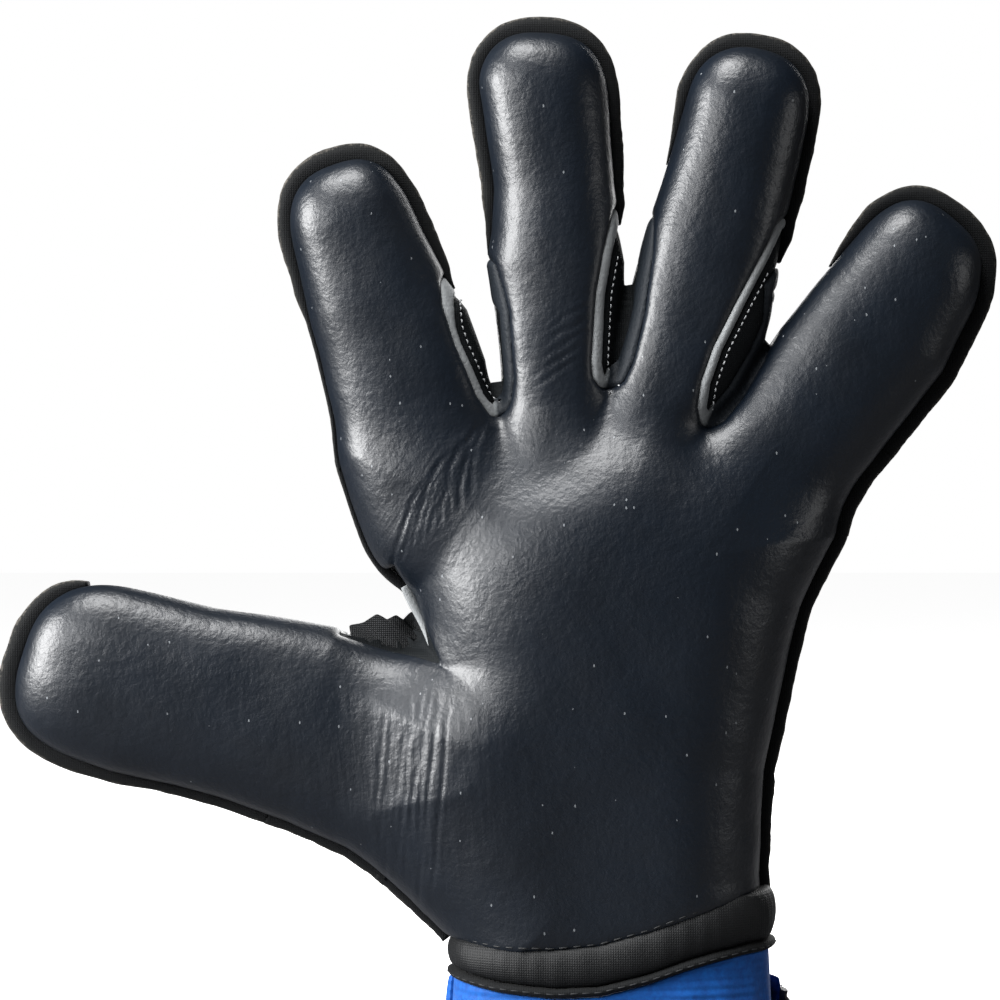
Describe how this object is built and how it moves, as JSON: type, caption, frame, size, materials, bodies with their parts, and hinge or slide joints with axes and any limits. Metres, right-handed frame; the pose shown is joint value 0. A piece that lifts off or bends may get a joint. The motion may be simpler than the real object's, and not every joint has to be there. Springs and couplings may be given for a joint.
{
  "type": "goalkeeper glove",
  "caption": "Left-hand goalkeeper glove with a black latex foam palm, a pale knitted back, bound fingertips and a blue elastic cuff with a closing strap.",
  "frame": {"origin": "centre of the cuff's mouth, where the hand goes in", "axes": "+Z towards the fingertips, +Y out of the back of the hand, -Y out of the palm, -X towards the thumb"},
  "size_m": [0.242, 0.0565, 0.2713],
  "materials": {
    "latex": "satin black latex foam",
    "knit": "pale grey knitted mesh",
    "lining": "brushed towelling",
    "trim": "black bound neoprene edge",
    "piping": "light grey woven tape",
    "web_mesh": "black open mesh",
    "heel_padding": "black padded neoprene",
    "bandage": "royal blue elastic rib",
    "strap": "royal blue woven elastic",
    "hook_tape": "black hook tape",
    "loop_tape": "black fleece loop tape",
    "grip_tab": "matt moulded rubber"
  },
  "bodies": {
    "hand": {"palm_latex": "latex", "palm_lining": "lining", "backhand_panel": "knit", "backhand_lining": "lining", "ulnar_side_trim": "trim", "radial_side_trim": "trim", "thumb_heel_trim": "trim", "thumb_web_mesh": "web_mesh", "thumb_web_piping": "piping", "web_index_middle": "trim", "web_middle_ring": "trim", "web_ring_little": "trim", "wrist_heel_band": "heel_padding", "heel_binding": "trim", "cuff_bandage": "bandage", "cuff_hem": "trim", "cuff_loop_patch": "loop_tape", "strap_anchor": "strap"},
    "strap": {"strap_band": "strap", "strap_hook_patch": "hook_tape", "strap_pull_tab": "grip_tab"},
    "index_base": {"index_base_latex": "latex", "index_base_back": "knit", "index_radial_gusset": "trim", "index_ulnar_gusset": "piping"},
    "index_tip": {"index_tip_latex": "latex", "index_tip_back": "knit", "index_tip_binding": "trim"},
    "middle_base": {"middle_base_latex": "latex", "middle_base_back": "knit", "middle_radial_gusset": "trim", "middle_ulnar_gusset": "piping"},
    "middle_tip": {"middle_tip_latex": "latex", "middle_tip_back": "knit", "middle_tip_binding": "trim"},
    "ring_base": {"ring_base_latex": "latex", "ring_base_back": "knit", "ring_radial_gusset": "trim", "ring_ulnar_gusset": "piping"},
    "ring_tip": {"ring_tip_latex": "latex", "ring_tip_back": "knit", "ring_tip_binding": "trim"},
    "little_base": {"little_base_latex": "latex", "little_base_back": "knit", "little_radial_gusset": "trim", "little_ulnar_gusset": "piping"},
    "little_tip": {"little_tip_latex": "latex", "little_tip_back": "knit", "little_tip_binding": "trim"},
    "thumb_base": {"thumb_base_latex": "latex", "thumb_base_back": "knit", "thumb_radial_gusset": "trim", "thumb_ulnar_gusset": "piping"},
    "thumb_tip": {"thumb_tip_latex": "latex", "thumb_tip_back": "knit", "thumb_tip_binding": "trim"}
  },
  "joints": [
    {"name": "index_foot", "type": "hinge", "parent": "hand", "child": "index_base", "pos_m": [-0.0475, -0.004, 0.1687], "axis": [0.9563, 0, 0.2924], "range_deg": [0, 45], "stiffness_Nm_per_rad": 0.06},
    {"name": "index_middle", "type": "hinge", "parent": "index_base", "child": "index_tip", "pos_m": [-0.05611, -0.004, 0.20371], "axis": [0.9563, 0, 0.2924], "range_deg": [0, 45], "stiffness_Nm_per_rad": 0.04},
    {"name": "middle_foot", "type": "hinge", "parent": "hand", "child": "middle_base", "pos_m": [-0.0132, -0.004, 0.1785], "axis": [0.9997, 0, 0.0262], "range_deg": [0, 45], "stiffness_Nm_per_rad": 0.06},
    {"name": "middle_middle", "type": "hinge", "parent": "middle_base", "child": "middle_tip", "pos_m": [-0.01367, -0.004, 0.2225], "axis": [0.9997, 0, 0.0262], "range_deg": [0, 45], "stiffness_Nm_per_rad": 0.04},
    {"name": "ring_foot", "type": "hinge", "parent": "hand", "child": "ring_base", "pos_m": [0.0096, -0.004, 0.1764], "axis": [0.9659, 0, -0.2588], "range_deg": [0, 45], "stiffness_Nm_per_rad": 0.06},
    {"name": "ring_middle", "type": "hinge", "parent": "ring_base", "child": "ring_tip", "pos_m": [0.02571, -0.004, 0.21763], "axis": [0.9659, 0, -0.2588], "range_deg": [0, 45], "stiffness_Nm_per_rad": 0.04},
    {"name": "little_foot", "type": "hinge", "parent": "hand", "child": "little_base", "pos_m": [0.0372, -0.004, 0.1602], "axis": [0.7986, 0, -0.6018], "range_deg": [0, 45], "stiffness_Nm_per_rad": 0.06},
    {"name": "little_middle", "type": "hinge", "parent": "little_base", "child": "little_tip", "pos_m": [0.05975, -0.004, 0.18954], "axis": [0.7986, 0, -0.6018], "range_deg": [0, 45], "stiffness_Nm_per_rad": 0.04},
    {"name": "thumb_foot", "type": "hinge", "parent": "hand", "child": "thumb_base", "pos_m": [-0.0451, -0.004, 0.09], "axis": [0.2504, 0, 0.9681], "range_deg": [0, 45], "stiffness_Nm_per_rad": 0.06},
    {"name": "thumb_middle", "type": "hinge", "parent": "thumb_base", "child": "thumb_tip", "pos_m": [-0.09657, -0.004, 0.10664], "axis": [0.2504, 0, 0.9681], "range_deg": [0, 45], "stiffness_Nm_per_rad": 0.04},
    {"name": "strap_flap", "type": "hinge", "parent": "hand", "child": "strap", "pos_m": [-0.03933, 0.02047, 0.025], "axis": [0, 0, 1], "range_deg": [0, 110]}
  ]
}
